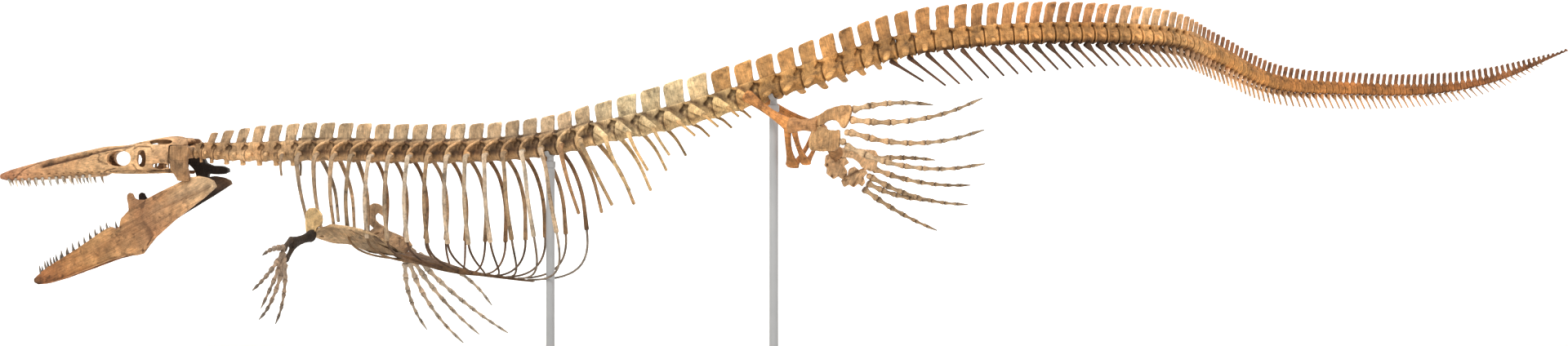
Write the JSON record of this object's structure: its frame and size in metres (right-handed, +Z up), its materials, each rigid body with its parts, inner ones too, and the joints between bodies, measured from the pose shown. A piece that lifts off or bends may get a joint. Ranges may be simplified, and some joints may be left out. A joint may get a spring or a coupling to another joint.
{
  "type": "mounted mosasaur skeleton",
  "caption": "Life-size mounted skeleton of a large swimming marine lizard with open jaws, long toothed skull, rib cage, four paddles and a finned tail, on a base with two rods.",
  "frame": {"origin": "middle of the underside of the display base, on the floor", "axes": "+Z up; the snout points to -X and the tail to +X; +Y is the skeleton's right-hand side"},
  "size_m": [8.6871, 2.1743, 1.948],
  "materials": {
    "skull_bone": "dry orange-brown fossil bone, matte",
    "pale_bone": "dry tan fossil bone, matte",
    "rust_bone": "dry golden-brown fossil bone, matte",
    "dark_bone": "dry dark-brown fossil bone, matte",
    "stand_steel": "satin light grey paint"
  },
  "bodies": {
    "root": {"coracoid_left": "pale_bone", "coracoid_right": "pale_bone", "femur_left": "rust_bone", "femur_right": "rust_bone", "fibula_left": "rust_bone", "fibula_right": "rust_bone", "humerus_left": "dark_bone", "humerus_right": "dark_bone", "ilium_left": "rust_bone", "ilium_right": "rust_bone", "ischium_left": "rust_bone", "ischium_right": "rust_bone", "mandible_left": "skull_bone", "mandible_right": "skull_bone", "manus_left": "dark_bone", "manus_right": "dark_bone", "neck": "pale_bone", "pes_left": "rust_bone", "pes_right": "rust_bone", "pubis_left": "rust_bone", "pubis_right": "rust_bone", "quadrate_left": "dark_bone", "quadrate_right": "dark_bone", "radius_left": "dark_bone", "radius_right": "dark_bone", "ribs_left": "pale_bone", "ribs_right": "pale_bone", "scapula_left": "pale_bone", "scapula_right": "pale_bone", "skull": "skull_bone", "stand_base": "stand_steel", "stand_rod_front": "stand_steel", "stand_rod_rear": "stand_steel", "tail_base": "rust_bone", "tail_bend": "dark_bone", "tail_front": "rust_bone", "tail_middle": "rust_bone", "tail_rear": "dark_bone", "tail_tip": "dark_bone", "tibia_left": "rust_bone", "tibia_right": "rust_bone", "trunk_front": "pale_bone", "trunk_middle": "pale_bone", "trunk_rear": "pale_bone", "ulna_left": "dark_bone", "ulna_right": "dark_bone"}
  },
  "joints": []
}
